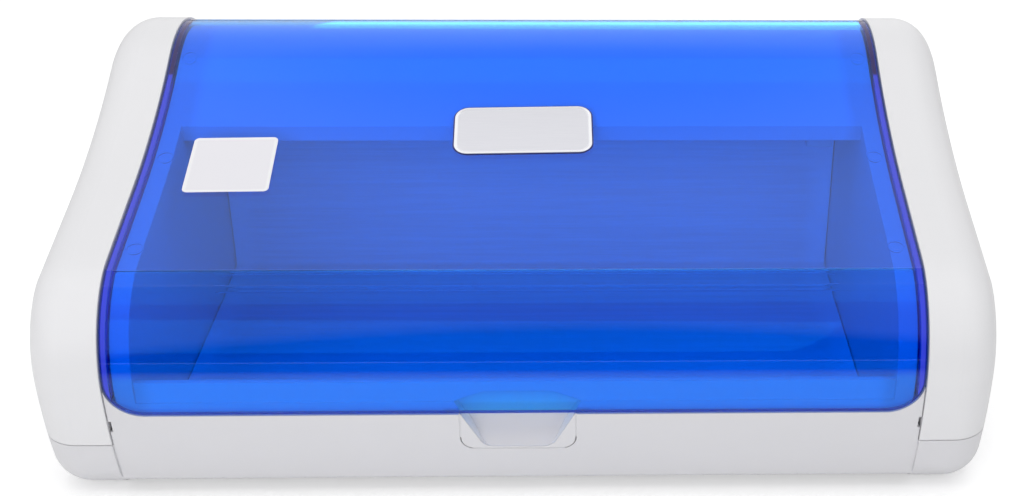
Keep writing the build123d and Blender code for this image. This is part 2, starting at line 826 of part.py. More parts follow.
def door_panel():
    """Clear door: curved sheet, side flanges and the two arms that turn on the hinge pins."""
    rear = hinge_y + roll_radius * sin(radians(door_rear_angle))
    with BuildPart() as door:
        with BuildSketch(Plane.YZ):
            add(strip(0, door_thickness, -big, rear, seam_height, big))
        extrude(amount=door_half, both=True)
        for side in (-1, 1):
            with BuildSketch(Plane.YZ.offset(side * (arm_inner + door_thickness / 2))):
                add(strip(0, flange_depth, -big, rear, seam_height, big))
            extrude(amount=door_thickness / 2, both=True)
            with BuildSketch(Plane.YZ.offset(side * (arm_inner + door_thickness / 2))):
                with Locations((hinge_y, hinge_z)):
                    Circle(eye_radius)
                    reach = roll_radius - flange_depth + door_thickness
                    ahead = radians(arm_front_angle)
                    behind = radians(door_rear_angle)
                    front_tip = (reach * sin(ahead), reach * cos(ahead))
                    rear_tip = (reach * sin(behind) - 1.0, reach * cos(behind))
                    Polygon((-eye_radius, 0), (eye_radius, 0), rear_tip, front_tip, align=None)
                    Circle(pin_radius + running_gap, mode=Mode.SUBTRACT)
            extrude(amount=door_thickness / 2, both=True)
        with BuildSketch(Plane.XZ):
            add(door_front(0))
        extrude(amount=big, both=True, mode=Mode.INTERSECT)
    return door.part


def stuck_on(x, distance, width, height, corner, thickness):
    """Thin plate bent to the door's skin, seen from above as a rounded rectangle."""
    slope = skin_at(distance)[1]
    flat = height * cos(radians(slope))
    y = setback(distance)
    with BuildPart() as plate:
        with BuildSketch(Plane.YZ.offset(x)):
            add(strip(-(glue + thickness), -glue, y - height, y + height, seam_height, big))
        extrude(amount=width, both=True)
        with BuildSketch(Plane.XY) as top:
            with Locations((x, y)):
                RectangleRounded(width, flat, corner)
        extrude(amount=big, mode=Mode.INTERSECT)
    return plate.part


def hinge_pin():
    """Right-hand steel pin through the hinge plate, the door's arm and the end form."""
    inner = rail_outer - wall - 1.5
    with BuildPart() as pin:
        with BuildSketch(Plane.YZ.offset(inner)):
            with Locations((hinge_y, hinge_z)):
                Circle(pin_radius)
        extrude(amount=bay_half + pin_seat - inner)
        chamfer(pin.edges().filter_by(GeomType.CIRCLE), 0.5)
    return pin.part


def interlock_switch():
    """Body of the small safety switch, seated under the groove."""
    top = interlock_plane().offset(-groove_inset - wall - running_gap)
    with BuildPart() as body:
        with BuildSketch(top):
            Rectangle(interlock_width, interlock_length)
        extrude(amount=-interlock_depth)
        with BuildSketch(top):
            Rectangle(plunger_width + 2 * fit_gap, plunger_length + 2 * fit_gap)
        extrude(amount=-plunger_seat, mode=Mode.SUBTRACT)
    return body.part


def interlock_plunger():
    """Plunger held down by the door's flange while the door is shut."""
    top = interlock_plane().offset(-flange_depth - fit_gap)
    length = groove_inset + wall + plunger_seat - interlock_travel / 2 - flange_depth
    with BuildPart() as plunger:
        with BuildSketch(top):
            Rectangle(plunger_width, plunger_length)
        extrude(amount=-(length - 2 * fit_gap))
    return plunger.part


def rocker_pivot():
    """Pivot of the power switch's rocker, seen from the side."""
    return (back_outer_y - rocker_setback, switch_z)


def power_switch_housing():
    """Black bezel and body of the power switch, with the well that the rocker turns in."""
    with BuildPart() as housing:
        with BuildSketch(Plane.XZ.offset(-back_outer_y - bezel_proud)):
            with Locations((switch_x, switch_z)):
                RectangleRounded(switch_width + 2 * bezel_rim, switch_height + 2 * bezel_rim, bezel_rim)
        extrude(amount=bezel_proud)
        with BuildSketch(Plane.XZ.offset(-back_outer_y)):
            with Locations((switch_x, switch_z)):
                Rectangle(switch_width, switch_height)
        extrude(amount=switch_depth)
        with BuildSketch(Plane.YZ.offset(switch_x)):
            with Locations(rocker_pivot()):
                Circle(rocker_radius + fit_gap)
            with Locations((back_outer_y, switch_z)):
                Rectangle(2 * rocker_setback, 2 * (rocker_radius + fit_gap))
        extrude(amount=switch_width / 2 - bezel_rim, both=True, mode=Mode.SUBTRACT)
        with BuildSketch(Plane.YZ.offset(switch_x)):
            with Locations(rocker_pivot()):
                Circle(trunnion_radius + running_gap)
        extrude(amount=switch_width / 2 - bezel_rim / 3, both=True, mode=Mode.SUBTRACT)
    return housing.part


def power_switch_rocker():
    """Rocker with a dished face, resting tilted to its off side."""
    y, z = rocker_pivot()
    turn = radians(rocker_tilt)
    side = Plane(origin=(switch_x, y, z), x_dir=(0, cos(turn), -sin(turn)), z_dir=(1, 0, 0))
    tip = rocker_dip + rocker_radius * tan(turn)
    with BuildPart() as rocker:
        with BuildSketch(side):
            Circle(rocker_radius)
            Polygon(
                (-rocker_radius, -rocker_radius),
                (tip, -rocker_radius),
                (rocker_dip, 0),
                (tip, rocker_radius),
                (-rocker_radius, rocker_radius),
                align=None,
                mode=Mode.INTERSECT,
            )
        extrude(amount=switch_width / 2 - bezel_rim - fit_gap, both=True)
        with BuildSketch(side):
            Circle(trunnion_radius)
        extrude(amount=switch_width / 2 - bezel_rim / 2, both=True)
    return rocker.part


def mains_inlet():
    """Two-pole appliance inlet: flange, body and the well around the pins."""
    with BuildPart() as inlet:
        with BuildSketch(Plane.XZ.offset(-back_outer_y - bezel_proud)):
            with Locations((inlet_x, inlet_z)):
                RectangleRounded(inlet_width + 2 * inlet_rim, inlet_height + 2 * inlet_rim, inlet_rim)
        extrude(amount=bezel_proud)
        with BuildSketch(Plane.XZ.offset(-back_outer_y)):
            with Locations((inlet_x, inlet_z)):
                SlotOverall(inlet_width, inlet_height)
        extrude(amount=inlet_depth)
        with BuildSketch(Plane.XZ.offset(-back_outer_y - bezel_proud)):
            with Locations((inlet_x, inlet_z)):
                SlotOverall(inlet_width - 2 * bezel_rim, inlet_height - 2 * bezel_rim)
        extrude(amount=inlet_depth - 3 * bezel_rim, mode=Mode.SUBTRACT)
        with BuildSketch(Plane.XZ.offset(-back_outer_y)):
            with Locations((inlet_x, inlet_z)):
                with GridLocations(inlet_pin_pitch, 1, 2, 1):
                    Circle(inlet_pin_radius + running_gap)
        extrude(amount=inlet_depth, mode=Mode.SUBTRACT)
    return inlet.part


def inlet_pins():
    """Brass pins of the mains inlet, standing in its well and showing as tags behind."""
    with BuildPart() as pins:
        with BuildSketch(Plane.XZ.offset(-back_outer_y + 1.0)):
            with Locations((inlet_x, inlet_z)):
                with GridLocations(inlet_pin_pitch, 1, 2, 1):
                    Circle(inlet_pin_radius)
        extrude(amount=inlet_depth + 3.0)
    return pins.part


def gear_y():
    """Middle of the space between the chamber's back and the back panel."""
    return (liner_back_y + sheet + back_outer_y - wall) / 2


def gear_screw_places():
    """Screws through the feet of the ballast."""
    reach = (ballast_length + ballast_foot) / 2
    return [(ballast_x + side * reach, gear_y()) for side in (-1, 1)]


def ballast_core():
    """Stack of steel laminations with two windows and a footplate."""
    with BuildPart() as core:
        with BuildSketch(Plane.XZ.offset(-gear_y())):
            with Locations((ballast_x, floor_top + ballast_height / 2)):
                Rectangle(ballast_length, ballast_height)
                with GridLocations(ballast_length / 2, 1, 2, 1):
                    Rectangle(ballast_length / 6, ballast_height * 0.6, mode=Mode.SUBTRACT)
        extrude(amount=ballast_width / 2, both=True)
        with BuildSketch(Plane.XY.offset(floor_top)):
            with Locations((ballast_x, gear_y())):
                Rectangle(ballast_length + 2 * ballast_foot, ballast_width * 0.6)
            with Locations(*gear_screw_places()):
                Circle(screw_radius + fit_gap, mode=Mode.SUBTRACT)
        extrude(amount=ballast_plate)
    return core.part


def ballast_coil():
    """Winding round the middle limb, through both windows."""
    limb = ballast_length / 2 - ballast_length / 6
    reach = limb / 2 + ballast_length / 6
    with BuildPart() as coil:
        with BuildSketch(Plane.XY.offset(floor_top + ballast_height * 0.2 + fit_gap)):
            with Locations((ballast_x, gear_y())):
                RectangleRounded(2 * (reach - fit_gap), ballast_width + 2 * coil_bulge, 3.0)
                Rectangle(limb + 2 * fit_gap, ballast_width + 2 * fit_gap, mode=Mode.SUBTRACT)
        extrude(amount=ballast_height * 0.6 - 2 * fit_gap)
    return coil.part


def starter_socket():
    """Holder of the lamp's starter, standing on the floor."""
    with BuildPart() as holder:
        with BuildSketch(Plane.XY.offset(floor_top)):
            with Locations((starter_x, gear_y())):
                RectangleRounded(2 * starter_radius + 5.0, 2 * starter_radius + 3.0, 3.0)
        extrude(amount=10.0)
        with BuildSketch(Plane.XY.offset(floor_top + 6.0)):
            with Locations((starter_x, gear_y())):
                with GridLocations(12.7, 1, 2, 1):
                    Circle(2.0 + fit_gap)
        extrude(amount=4.0, mode=Mode.SUBTRACT)
    return holder.part


def starter():
    """Starter can with its two buttons."""
    with BuildPart() as can:
        with BuildSketch(Plane.XY.offset(floor_top + 10.0)):
            with Locations((starter_x, gear_y())):
                Circle(starter_radius)
        extrude(amount=starter_length)
        fillet(can.faces().sort_by(Axis.Z)[-1].edges(), 2.0)
        with BuildSketch(Plane.XY.offset(floor_top + 10.0)):
            with Locations((starter_x, gear_y())):
                with GridLocations(12.7, 1, 2, 1):
                    Circle(2.0)
        extrude(amount=-3.5)
    return can.part


def rubber_feet():
    """Four round pads pressed into the end forms."""
    with BuildPart() as feet:
        with BuildSketch(Plane.XY):
            with Locations(*foot_places()):
                Circle(foot_radius)
        extrude(amount=foot_thickness)
    return feet.part


def upright_screws(places, z_head):
    """Screws standing on their heads, one solid each."""
    with BuildPart() as screws:
        with BuildSketch(Plane.XY.offset(z_head)):
            with Locations(*places):
                Circle(screw_head_radius)
        extrude(amount=screw_head_height)
        with BuildSketch(Plane.XY.offset(z_head)):
            with Locations(*places):
                Circle(screw_radius - running_gap)
        extrude(amount=screw_length - 1.0)
    return screws.part


def base_screws():
    """Screws from below into the end forms and the frame's posts."""
    with BuildPart() as screws:
        add(upright_screws(both_sides(cap_posts()), seam_height - screw_grip - screw_head_height))
        add(upright_screws(base_screw_places(), base_bottom + fit_gap))
    return screws.part


def ballast_screws():
    """Short screws that hold the ballast to the tray's floor."""
    top = floor_top + ballast_plate
    with BuildPart() as screws:
        with BuildSketch(Plane.XY.offset(top)):
            with Locations(*gear_screw_places()):
                Circle(screw_head_radius)
        extrude(amount=screw_head_height)
        with BuildSketch(Plane.XY.offset(top)):
            with Locations(*gear_screw_places()):
                Circle(screw_radius - running_gap)
        extrude(amount=-(gear_screw_length - fit_gap))
    return screws.part


def back_screws():
    """Screws of the back panel, heads on its outer face."""
    with BuildPart() as screws:
        with BuildSketch(Plane.XZ.offset(-back_outer_y)):
            with Locations(*back_screw_places()):
                Circle(screw_head_radius)
        extrude(amount=-screw_head_height)
        with BuildSketch(Plane.XZ.offset(-back_outer_y)):
            with Locations(*back_screw_places()):
                Circle(screw_radius - running_gap)
        extrude(amount=screw_length - 2.0)
    return screws.part


def mirrored(part):
    """The same piece for the left-hand side."""
    with BuildPart() as other:
        mirror(part, about=Plane.YZ)
    return other.part


write("base_shell", base_shell())
write("upper_housing", upper_housing())
write("back_panel", back_panel())
write("chamber_liner", chamber_liner())
write("lamp_reflector", lamp_reflector())
write("uv_tube", uv_tube())
write("tube_caps", tube_caps())
write("tube_pins", tube_pins())
write("door_panel", door_panel())
write("name_plate", stuck_on(0, plate_setback, plate_width, plate_height, plate_corner, plate_thickness))
label = stuck_on(label_x, label_setback, label_width, label_height, label_corner, label_thickness)
write("door_label", label)
write("interlock_switch", interlock_switch())
write("interlock_plunger", interlock_plunger())
write("power_switch_housing", power_switch_housing())
write("power_switch_rocker", power_switch_rocker())
write("mains_inlet", mains_inlet())
write("inlet_pins", inlet_pins())
write("ballast_core", ballast_core())
write("ballast_coil", ballast_coil())
write("starter_socket", starter_socket())
write("starter", starter())
write("rubber_feet", rubber_feet())
write("base_screws", base_screws())
write("ballast_screws", ballast_screws())
write("back_screws", back_screws())
for piece, make in (
    ("side_cap", side_cap),
    ("hinge_pin", hinge_pin),
    ("lamp_socket", lamp_socket),
    ("socket_rotor", socket_rotor),
):
    right = make()
    write(f"right_{piece}", right)
    write(f"left_{piece}", mirrored(right))
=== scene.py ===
from math import cos, pi, radians, sin, sqrt

import bpy
import numpy as np
from mathutils import Matrix, Vector


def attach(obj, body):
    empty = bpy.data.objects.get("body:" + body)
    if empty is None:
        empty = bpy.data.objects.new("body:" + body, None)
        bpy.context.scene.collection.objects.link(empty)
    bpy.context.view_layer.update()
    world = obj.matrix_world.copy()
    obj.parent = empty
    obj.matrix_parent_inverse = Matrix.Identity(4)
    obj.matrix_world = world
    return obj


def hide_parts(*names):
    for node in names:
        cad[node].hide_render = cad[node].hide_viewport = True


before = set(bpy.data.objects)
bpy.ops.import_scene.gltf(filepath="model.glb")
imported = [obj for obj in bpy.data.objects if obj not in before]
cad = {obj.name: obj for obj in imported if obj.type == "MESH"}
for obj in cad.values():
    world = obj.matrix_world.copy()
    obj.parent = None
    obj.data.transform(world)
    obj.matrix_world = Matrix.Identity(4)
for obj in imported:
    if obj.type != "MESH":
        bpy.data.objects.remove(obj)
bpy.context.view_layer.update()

# ---------------------------------------------------------------- white case
# The tray, the two end mouldings, the frame behind the door and the back panel are
# injection-moulded in white plastic with a fine satin grain, and screwed together from below.

CASE_WHITE = (0.790, 0.788, 0.804, 1)
CASE_SHADE = (0.762, 0.760, 0.780, 1)
# Painted shade: the tray is a darker copy of the case white, for the shade on its front face.
TRAY_SHADED_WHITE = (0.715, 0.710, 0.735, 1)
TRAY_SHADE = (0.690, 0.686, 0.712, 1)
# Painted light: the frame behind the door is a lighter copy of the case white, for light lost through
# the blue door.
FRAME_LIT_WHITE = (0.835, 0.84, 0.86, 1)
RAIL_WHITE = (0.70, 0.70, 0.72, 1)
# Painted shade: the scoop's pocket is darker, as a shaded recess.
SCOOP_SHADE_WHITE = (0.68, 0.665, 0.685, 1)
# Painted light: the pocket's side walls are lighter and warmer, against the blue light falling on them
# through the door.
SCOOP_SIDE_LIGHT = (0.90, 0.88, 0.87, 1)
CASE_EDGE = 0.0007
# the front face below the nose is an arc in y over z
CHIN_RADIUS, NOSE_Y, NOSE_HEIGHT = 0.1775, -0.12942148, 0.061
SCOOP_TOP, SCOOP_SIDES, SCOOP_DEPTH = (0.0475, 0.0505), (0.031, 0.034), (0.0003, 0.0012)
RAIL_START = (0.158, 0.166)


def finish_of(name, base, roughness, metallic=0.0):
    """A material with one Principled shader, its nodes and its links."""
    made = bpy.data.materials.new(name)
    made.use_nodes = True
    nt = made.node_tree
    shader = nt.nodes["Principled BSDF"]
    shader.inputs["Base Color"].default_value = base
    shader.inputs["Roughness"].default_value = roughness
    shader.inputs["Metallic"].default_value = metallic
    return made, nt, shader


def place_on(nt, scale=(1, 1, 1)):
    """Object coordinates through a Mapping node, as one output."""
    where = nt.nodes.new("ShaderNodeTexCoord")
    mapped = nt.nodes.new("ShaderNodeMapping")
    mapped.inputs["Scale"].default_value = scale
    nt.links.new(where.outputs["Object"], mapped.inputs["Vector"])
    return mapped.outputs["Vector"]


def speckle(nt, place, size, detail=2.0):
    """Noise of a given grain size in metres, as a 0 to 1 output."""
    noise = nt.nodes.new("ShaderNodeTexNoise")
    noise.inputs["Scale"].default_value = 1.0 / size
    noise.inputs["Detail"].default_value = detail
    nt.links.new(place, noise.inputs["Vector"])
    return noise.outputs["Fac"]


def between(nt, amount, low, high):
    """A 0 to 1 output spread from low to high."""
    spread = nt.nodes.new("ShaderNodeMapRange")
    spread.inputs["To Min"].default_value = low
    spread.inputs["To Max"].default_value = high
    nt.links.new(amount, spread.inputs["Value"])
    return spread.outputs["Result"]


def two_tones(nt, amount, first, second):
    """Colour between two tones by a 0 to 1 output."""
    mix = nt.nodes.new("ShaderNodeMix")
    mix.data_type = "RGBA"
    mix.inputs["A"].default_value = first
    mix.inputs["B"].default_value = second
    nt.links.new(amount, mix.inputs["Factor"])
    return mix.outputs["Result"]


def raise_grain(nt, shader, height, depth, strength=1.0, edge=0.0):
    """Bump of a given depth in metres on the shader, over edges softened to a radius."""
    bump = nt.nodes.new("ShaderNodeBump")
    bump.inputs["Distance"].default_value = depth
    bump.inputs["Strength"].default_value = strength
    nt.links.new(height, bump.inputs["Height"])
    if edge:
        soft = nt.nodes.new("ShaderNodeBevel")
        soft.samples = 6
        soft.inputs["Radius"].default_value = edge
        nt.links.new(soft.outputs["Normal"], bump.inputs["Normal"])
    nt.links.new(bump.outputs["Normal"], shader.inputs["Normal"])


def dress(node, finish):
    """Gives a CAD node one finish all over."""
    slots = cad[node].data.materials
    slots.clear()
    slots.append(finish)


def sum_up(nt, kind, first, second):
    """Math node of one kind on two outputs or numbers."""
    node = nt.nodes.new("ShaderNodeMath")
    node.operation = kind
    for at, one in enumerate((first, second)):
        if isinstance(one, (int, float)):
            node.inputs[at].default_value = one
        else:
            nt.links.new(one, node.inputs[at])
    return node.outputs[0]


def ramp_up(nt, amount, low, high):
    """0 below low, 1 above high, smooth between."""
    spread = nt.nodes.new("ShaderNodeMapRange")
    spread.interpolation_type = "SMOOTHSTEP"
    spread.inputs["From Min"].default_value = low
    spread.inputs["From Max"].default_value = high
    nt.links.new(amount, spread.inputs["Value"])
    return spread.outputs["Result"]


def ramp_down(nt, amount, low, high):
    """1 below low, 0 above high, smooth between."""
    return ramp_up(nt, sum_up(nt, "MULTIPLY", amount, -1.0), -high, -low)


def blend_tones(nt, amount, first, second):
    """Colour output that goes from one output or tone to a second tone."""
    mix = nt.nodes.new("ShaderNodeMix")
    mix.data_type = "RGBA"
    nt.links.new(first, mix.inputs["A"])
    mix.inputs["B"].default_value = second
    nt.links.new(amount, mix.inputs["Factor"])
    return mix.outputs["Result"]


def split_place(nt):
    """The x, y and z outputs of Object coordinates."""
    parts = nt.nodes.new("ShaderNodeSeparateXYZ")
    nt.links.new(place_on(nt), parts.inputs[0])
    return parts.outputs


def case_finish(name, light, shade):
    """Satin moulded plastic: two close tones in soft clouds, uneven gloss, fine grain, soft edges."""
    made, nt, shader = finish_of(name, light, 0.34)
    shader.inputs["Specular IOR Level"].default_value = 0.45
    shader.inputs["Coat Weight"].default_value = 0.15
    shader.inputs["Coat Roughness"].default_value = 0.25
    place = place_on(nt)
    nt.links.new(two_tones(nt, speckle(nt, place, 0.09, 3.0), light, shade), shader.inputs["Base Color"])
    nt.links.new(between(nt, speckle(nt, place, 0.02), 0.30, 0.42), shader.inputs["Roughness"])
    raise_grain(nt, shader, speckle(nt, place, 0.0007, 1.0), 0.00002, 0.35, CASE_EDGE)
    return made


moulded_white = case_finish("moulded_white", CASE_WHITE, CASE_SHADE)
# painted shade: the tray's finish is the darker copy of the case white
tray_shaded_white = case_finish("tray_shaded_white", TRAY_SHADED_WHITE, TRAY_SHADE)
for node in ("left_side_cap", "right_side_cap", "back_panel"):
    dress(node, moulded_white)
dress("base_shell", tray_shaded_white)

# The frame's colour holds painted light and shade: lighter than the case behind the door, darker along
# its side rails, as dark as the tray on the scoop's tab, darker still in the pocket, and lighter on the
# pocket's side walls.
frame_light_and_shade, nt, shader = finish_of("frame_light_and_shade", FRAME_LIT_WHITE, 0.38)
place = place_on(nt)
nt.links.new(between(nt, speckle(nt, place, 0.02), 0.34, 0.46), shader.inputs["Roughness"])
raise_grain(nt, shader, speckle(nt, place, 0.0007, 1.0), 0.00002, 0.35, CASE_EDGE)
across, back, rise = split_place(nt)
aside = sum_up(nt, "ABSOLUTE", across, 0)
low = ramp_down(nt, rise, *SCOOP_TOP)
narrow = ramp_down(nt, aside, *SCOOP_SIDES)
rail = ramp_up(nt, aside, *RAIL_START)
frame_tone = two_tones(nt, rail, FRAME_LIT_WHITE, RAIL_WHITE)
scoop = sum_up(nt, "MULTIPLY", low, narrow)
frame_tone = blend_tones(nt, scoop, frame_tone, TRAY_SHADED_WHITE)
# painted shade in the pocket, which lies behind the flush face, y = nose + (height - z)^2 / (2 radius),
# and whose walls face along x
bow = sum_up(nt, "POWER", sum_up(nt, "SUBTRACT", NOSE_HEIGHT, rise), 2.0)
skin = sum_up(nt, "ADD", sum_up(nt, "DIVIDE", bow, 2 * CHIN_RADIUS), NOSE_Y)
sunk = ramp_up(nt, sum_up(nt, "SUBTRACT", back, skin), *SCOOP_DEPTH)
shaded_pocket = sum_up(nt, "MULTIPLY", scoop, sunk)
frame_tone = blend_tones(nt, shaded_pocket, frame_tone, SCOOP_SHADE_WHITE)
# painted light on the pocket's walls that face along x
facing = nt.nodes.new("ShaderNodeSeparateXYZ")
nt.links.new(nt.nodes.new("ShaderNodeNewGeometry").outputs["True Normal"], facing.inputs[0])
side_wall_light = ramp_up(nt, sum_up(nt, "ABSOLUTE", facing.outputs["X"], 0), 0.15, 0.45)
frame_tone = blend_tones(nt, sum_up(nt, "MULTIPLY", shaded_pocket, side_wall_light), frame_tone, SCOOP_SIDE_LIGHT)
nt.links.new(frame_tone, shader.inputs["Base Color"])
dress("upper_housing", frame_light_and_shade)

# ---------------------------------------------------------------- joint round the scoop
# The frame's tab is moulded to sit flush in the tray's front wall. Its joint is closed along
# the sides and the bottom and open only at the two lower corners.

TAB_HALF, TAB_LOW, TAB_CORNER, JOINT = 0.0255, 0.028, 0.006, 0.0004
BEAD_TOP, BEAD_SUNK, BEAD_DIP, OVERLAP = 0.0482, 0.00002, 0.00008, 0.00003


def on_chin(x, z, sunk):
    """Points on the front face below the nose, sunk into it: an arc of CHIN_RADIUS in y over z."""
    y = NOSE_Y + CHIN_RADIUS - np.sqrt(CHIN_RADIUS ** 2 - (NOSE_HEIGHT - z) ** 2) + sunk
    return np.stack((x, y, z), axis=-1)


def joint_bead(name, runs, steps=24, across=5):
    """Strips of the joint's width along straight runs (x0, z0, x1, z1) in the front view, with a
    shallow dip between their edges: sunk = dip * (1 - s^2) for s from -1 to 1 across."""
    points, faces = [], []
    for x0, z0, x1, z1 in runs:
        t, s = np.meshgrid(np.linspace(0, 1, steps), np.linspace(-1, 1, across), indexing="ij")
        length = sqrt((x1 - x0) ** 2 + (z1 - z0) ** 2)
        half = JOINT / 2 + OVERLAP
        x = x0 + (x1 - x0) * t - (z1 - z0) / length * s * half
        z = z0 + (z1 - z0) * t + (x1 - x0) / length * s * half
        k, j = np.meshgrid(np.arange(steps - 1), np.arange(across - 1), indexing="ij")
        first = len(points) * t.size
        corner = first + k * across + j
        quads = np.stack((corner, corner + across, corner + across + 1, corner + 1), axis=-1)
        faces.append(quads.reshape(-1, 4))
        points.append(on_chin(x, z, BEAD_SUNK + BEAD_DIP * (1 - s ** 2)).reshape(-1, 3))
    mesh = bpy.data.meshes.new(name)
    mesh.from_pydata(np.concatenate(points).tolist(), [], np.concatenate(faces).tolist())
    mesh.polygons.foreach_set("use_smooth", np.ones(len(mesh.polygons), dtype=bool))
    made = bpy.data.objects.new(name, mesh)
    bpy.context.scene.collection.objects.link(made)
    return made


side_x = TAB_HALF + JOINT / 2
low_z = TAB_LOW - JOINT / 2
bead_low = TAB_LOW + TAB_CORNER + 0.0006
bead_half = TAB_HALF - TAB_CORNER + 0.0012
bead_runs = [
    (side_x, bead_low, side_x, BEAD_TOP),
    (-side_x, BEAD_TOP, -side_x, bead_low),
    (-bead_half, low_z, bead_half, low_z),
]
bead = joint_bead("scoop_joint", bead_runs)
bead.data.materials.append(tray_shaded_white)
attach(bead, "housing")

# ---------------------------------------------------------------- metal chamber
# Liner and reflector are folded from bright stainless sheet with a long brushed grain;
# the liner stands on the tray's ribs and the reflector hangs under the top panel.

LINER_ENDS, LINER_FRONT = (0.148, 0.1655), (-0.03, 0.07)
# the lighter tone of the painted light on the liner's ends and front
LIT_STEEL = (0.97, 0.97, 0.98, 1)

sheet_metal, nt, shader = finish_of("bright_sheet_metal", (0.88, 0.90, 0.94, 1), 0.5, 0.6)
brushed = speckle(nt, place_on(nt, scale=(0.02, 1, 1)), 0.0006, 4.0)
streaks = speckle(nt, place_on(nt, scale=(0.015, 1, 1)), 0.0035, 3.0)
brushed = sum_up(nt, "MULTIPLY", sum_up(nt, "ADD", brushed, streaks), 0.5)
bare = two_tones(nt, ramp_up(nt, brushed, 0.32, 0.68), (0.83, 0.84, 0.87, 1), (0.97, 0.975, 0.98, 1))
# Painted light: the sheet is lighter towards the liner's ends and its front; the ends are also less
# metallic.
across, back, rise = split_place(nt)
ends = ramp_up(nt, sum_up(nt, "ABSOLUTE", across, 0), *LINER_ENDS)
front = ramp_up(nt, sum_up(nt, "MULTIPLY", back, -1.0), *LINER_FRONT)
painted_light = sum_up(nt, "MAXIMUM", ends, front)
nt.links.new(blend_tones(nt, painted_light, bare, LIT_STEEL), shader.inputs["Base Color"])
nt.links.new(between(nt, brushed, 0.52, 0.66), shader.inputs["Roughness"])
nt.links.new(between(nt, ends, 0.6, 0.15), shader.inputs["Metallic"])
raise_grain(nt, shader, brushed, 0.00006, 0.5)
for node in ("chamber_liner", "lamp_reflector"):
    dress(node, sheet_metal)

# ---------------------------------------------------------------- lamp
# Quartz tube with drawn aluminium caps and brass pins. It turns to lock in the rotors of two
# white heat-proof sockets, which sit against blocks on the frame's side walls.

quartz, nt, shader = finish_of("clear_quartz", (0.96, 0.98, 1.0, 1), 0.03)
shader.inputs["Transmission Weight"].default_value = 1.0
shader.inputs["IOR"].default_value = 1.46
dress("uv_tube", quartz)

drawn_cap, nt, shader = finish_of("drawn_aluminium", (0.82, 0.82, 0.83, 1), 0.28, 1.0)
ridges = speckle(nt, place_on(nt, scale=(40, 1, 1)), 0.004, 2.0)
raise_grain(nt, shader, ridges, 0.00003, 0.4)
dress("tube_caps", drawn_cap)

pin_brass, nt, shader = finish_of("pin_brass", (0.80, 0.62, 0.28, 1), 0.25, 1.0)
nt.links.new(between(nt, speckle(nt, place_on(nt), 0.001), 0.18, 0.36), shader.inputs["Roughness"])
for node in ("tube_pins", "inlet_pins"):
    dress(node, pin_brass)

socket_white, nt, shader = finish_of("socket_white", (0.80, 0.80, 0.78, 1), 0.45)
place = place_on(nt)
raise_grain(nt, shader, speckle(nt, place, 0.0005), 0.00002, 0.3, 0.0004)
for node in ("left_lamp_socket", "right_lamp_socket", "starter_socket",
             "left_socket_rotor", "right_socket_rotor"):
    dress(node, socket_white)

# ---------------------------------------------------------------- control gear
# Choke of varnished laminations with a taped winding, and a starter in its holder, on the
# tray's floor behind the chamber.

laminated, nt, shader = finish_of("varnished_laminations", (0.06, 0.06, 0.065, 1), 0.45, 0.4)
place = place_on(nt, scale=(0.01, 1, 0.01))
leaves = speckle(nt, place, 0.0006, 0.0)
edges = two_tones(nt, leaves, (0.03, 0.03, 0.033, 1), (0.12, 0.115, 0.11, 1))
nt.links.new(edges, shader.inputs["Base Color"])
raise_grain(nt, shader, leaves, 0.0001, 0.6)
dress("ballast_core", laminated)

taped, nt, shader = finish_of("taped_winding", (0.62, 0.45, 0.12, 1), 0.4)
place = place_on(nt)
tape = speckle(nt, place, 0.004, 1.0)
laps = two_tones(nt, tape, (0.66, 0.48, 0.12, 1), (0.50, 0.34, 0.08, 1))
nt.links.new(laps, shader.inputs["Base Color"])
raise_grain(nt, shader, tape, 0.0002, 0.4)
dress("ballast_coil", taped)
dress("starter", drawn_cap)

# ---------------------------------------------------------------- back panel fittings
# Black nylon rocker switch and appliance inlet, snapped into the back panel, and the safety
# switch with its red plunger under the door. Screws and hinge pins are zinc-plated, and the
# rubber feet are pressed into the tray.

black_nylon, nt, shader = finish_of("black_nylon", (0.018, 0.018, 0.019, 1), 0.38)
place = place_on(nt)
nt.links.new(between(nt, speckle(nt, place, 0.003), 0.3, 0.46), shader.inputs["Roughness"])
raise_grain(nt, shader, speckle(nt, place, 0.0004), 0.00002, 0.3, 0.0003)
for node in ("power_switch_housing", "power_switch_rocker", "mains_inlet", "interlock_switch"):
    dress(node, black_nylon)

red_nylon, nt, shader = finish_of("red_nylon", (0.55, 0.03, 0.02, 1), 0.35)
raise_grain(nt, shader, speckle(nt, place_on(nt), 0.0004), 0.00002, 0.3)
dress("interlock_plunger", red_nylon)

plated, nt, shader = finish_of("zinc_plated", (0.62, 0.62, 0.63, 1), 0.3, 1.0)
nt.links.new(between(nt, speckle(nt, place_on(nt), 0.0008), 0.22, 0.4), shader.inputs["Roughness"])
for node in ("base_screws", "back_screws", "ballast_screws", "left_hinge_pin", "right_hinge_pin"):
    dress(node, plated)

foot_rubber, nt, shader = finish_of("foot_rubber", (0.03, 0.03, 0.031, 1), 0.8)
raise_grain(nt, shader, speckle(nt, place_on(nt), 0.0006), 0.00005, 0.6)
dress("rubber_feet", foot_rubber)

# ---------------------------------------------------------------- door
# One clear blue moulding. Seen edge-on, its side flanges, its arms and its polished outer
# edge hold a longer way through the plastic, so they look darker than the sheet; the arms are painted
# darker still, as shade of the slots they run in.

DOOR_BLUE = (0.03, 0.365, 1.0, 1)
NOSE_BLUE = (0.012, 0.315, 1.0, 1)
# painted light: a lighter blue over the lower band
BAND_LIT_BLUE = (0.02, 0.44, 1.0, 1)
FLANGE_BLUE = (0.055, 0.085, 0.95, 1)
